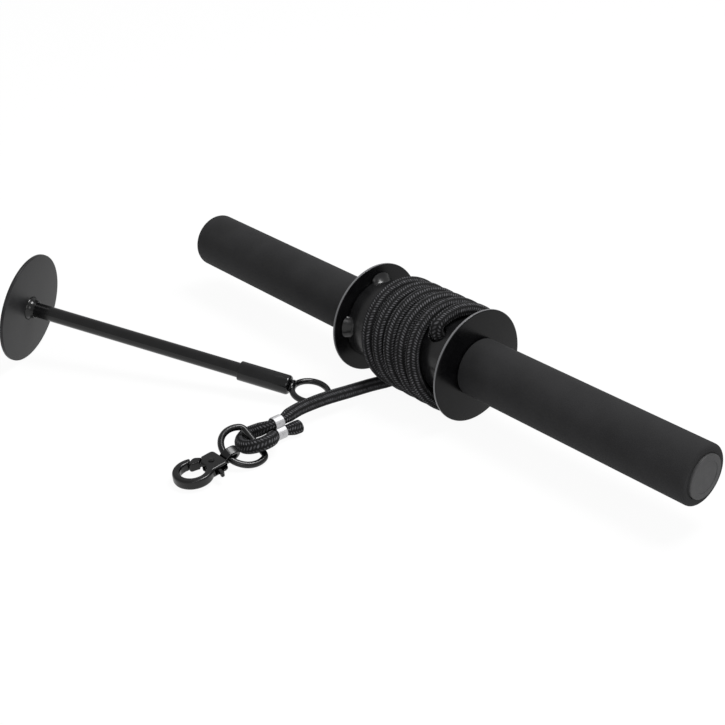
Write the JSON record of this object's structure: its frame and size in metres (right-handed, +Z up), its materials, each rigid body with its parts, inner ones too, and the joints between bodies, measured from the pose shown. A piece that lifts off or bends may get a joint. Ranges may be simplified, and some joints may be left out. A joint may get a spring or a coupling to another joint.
{
  "type": "wrist roller",
  "caption": "Wrist roller: a bar with foam grips and a rope drum, rope with ring and swivel snap hook, and a separate loading pin for weight plates",
  "frame": {"origin": "middle of the floor under the bar and the loading pin", "axes": "+X along the bar to its right grip, +Y away from the loading pin, +Z up"},
  "size_m": [0.4182, 0.2142, 0.0685],
  "materials": {
    "foam": "matte",
    "plug": "satin",
    "black_steel": "gloss",
    "disc_steel": "satin",
    "cord": "matte",
    "hook_black": "gloss",
    "bright_steel": "satin"
  },
  "bodies": {
    "bar": {"handle_tube_left": "black_steel", "handle_tube_right": "black_steel", "grip_left": "foam", "grip_right": "foam", "end_plug_left": "plug", "end_plug_right": "plug", "flange_left": "black_steel", "flange_right": "black_steel", "drum_tube": "black_steel", "rope_knot": "cord", "rope_winding": "cord", "rope_lead": "cord", "rope_eye": "cord", "crimp_band": "bright_steel"},
    "ring": {"d_ring": "hook_black"},
    "swivel": {"swivel_eye": "hook_black"},
    "hook": {"hook_body": "hook_black", "gate_pin": "hook_black", "gate_spring": "bright_steel"},
    "gate": {"hook_gate": "hook_black"},
    "loading_pin": {"loading_disc": "disc_steel", "disc_weld": "black_steel", "loading_rod": "black_steel", "rod_sleeve": "black_steel", "rod_eye": "black_steel"}
  },
  "joints": [
    {"name": "ring_swing", "type": "hinge", "parent": "bar", "child": "ring", "pos_m": [-0.00695, -0.04736, 0.00758], "axis": [-0.9048, 0, 0.4258], "range_deg": [0, 60]},
    {"name": "eye_swing", "type": "hinge", "parent": "ring", "child": "swivel", "pos_m": [-0.00555, -0.06777, 0.00692], "axis": [-0.8987, -0.1163, 0.4229], "range_deg": [0, 75]},
    {"name": "hook_swivel", "type": "hinge", "parent": "swivel", "child": "hook", "pos_m": [-0.00565, -0.07373, 0.00625], "axis": [-0.0173, -0.9936, -0.1115], "continuous": true},
    {"name": "gate_hinge", "type": "hinge", "parent": "hook", "child": "gate", "pos_m": [-0.00573, -0.078, 0.00577], "axis": [-0.0019, -0.1114, 0.9938], "range_deg": [0, 22], "stiffness_Nm_per_rad": 0.02, "springref_deg": -40.11},
    {"name": "pin_lift", "type": "slide", "parent": "bar", "child": "loading_pin", "axis": [0, 0, 1], "range_m": [0, 0.06]}
  ]
}
